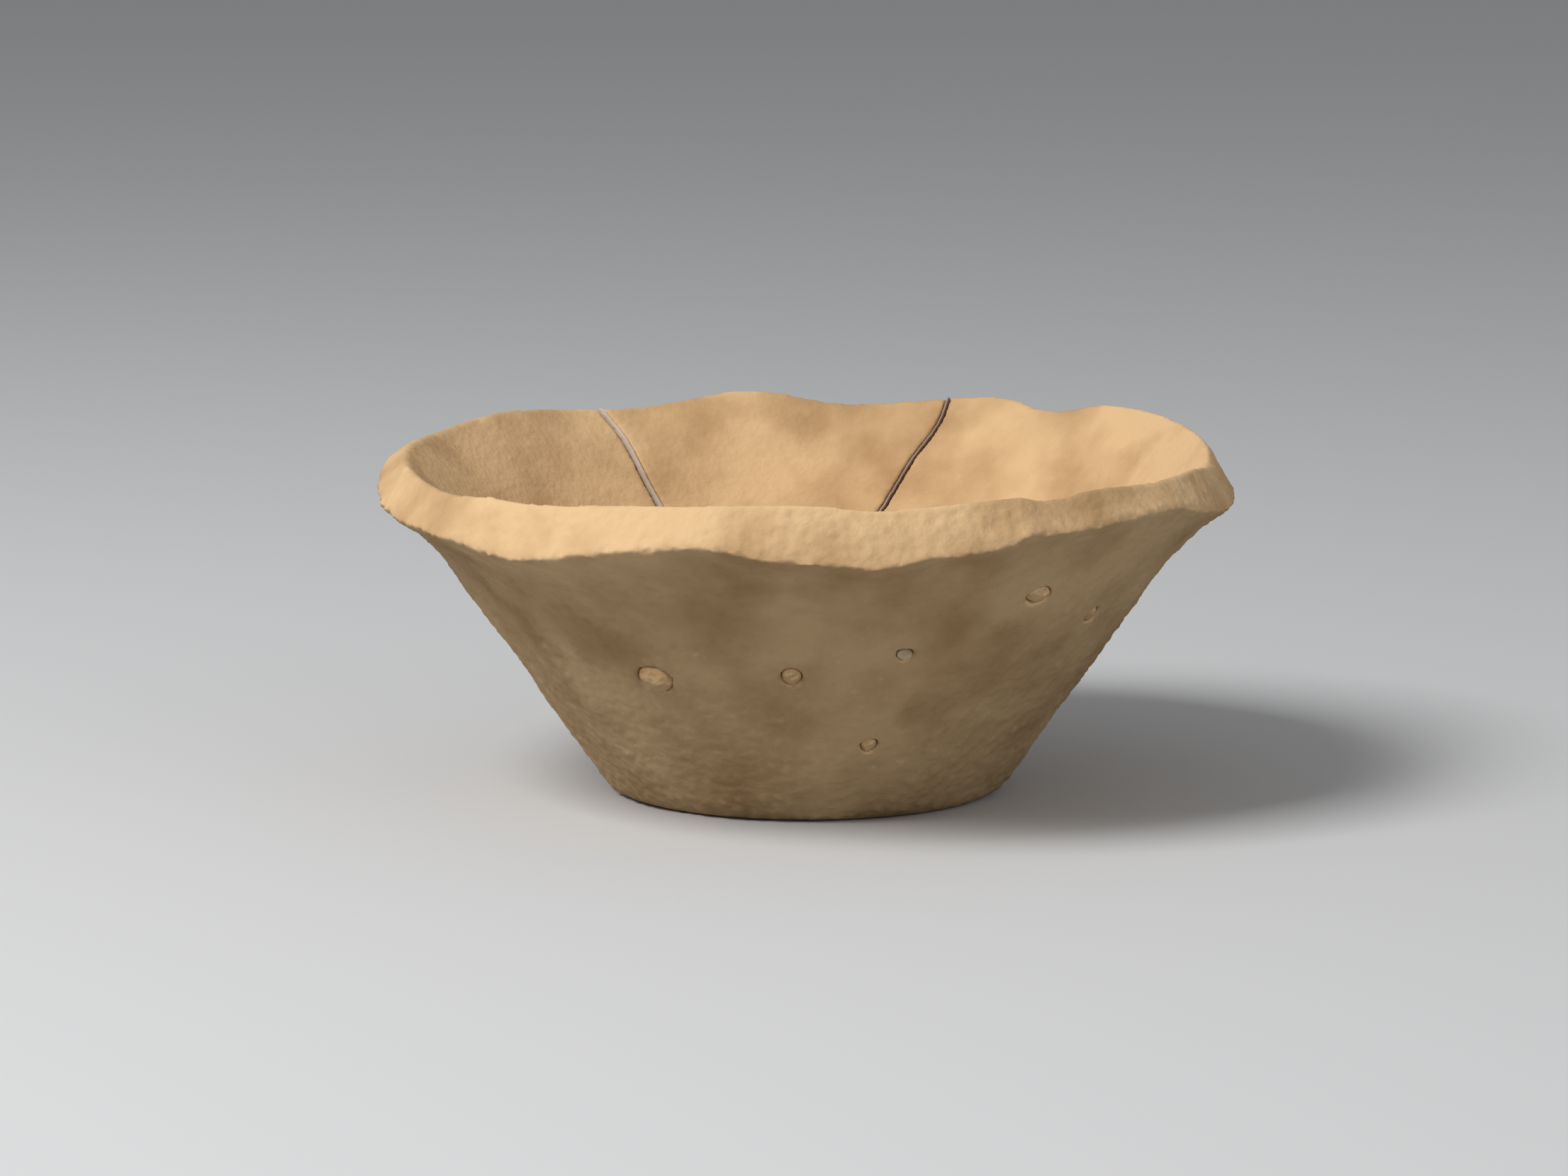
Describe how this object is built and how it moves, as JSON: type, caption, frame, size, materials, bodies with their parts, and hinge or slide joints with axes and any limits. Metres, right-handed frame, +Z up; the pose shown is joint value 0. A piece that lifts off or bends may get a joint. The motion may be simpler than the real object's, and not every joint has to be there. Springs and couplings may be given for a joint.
{
  "type": "pottery bowl",
  "caption": "Hand-pressed clay bowl with straight flaring wall, flat base and a wavy bevelled rim, mended at the back.",
  "frame": {"origin": "middle of the flat base's resting face", "axes": "+Z up through the open mouth, -Y towards the side the picture shows, +X to its right"},
  "size_m": [0.1891, 0.1892, 0.0791],
  "materials": {
    "fired_clay": "matte, rough, crumbly outside, smoother inside",
    "plaster_fill": "matte off-white fill",
    "adhesive_fill": "matte grey-brown fill",
    "clay_grit": "matte clay pellets and grit",
    "pale_pebble": "matte pale pebble"
  },
  "bodies": {
    "root": {"bowl_body": "fired_clay", "back_sherd": "fired_clay", "join_fill_left": "plaster_fill", "join_fill_right": "adhesive_fill", "clay_pellet_upper_right": "clay_grit", "grit_disc_right": "clay_grit", "clay_lump_left": "clay_grit", "grit_nub_front": "clay_grit", "pale_pebble_front": "pale_pebble", "nodule_foot": "clay_grit"}
  },
  "joints": []
}
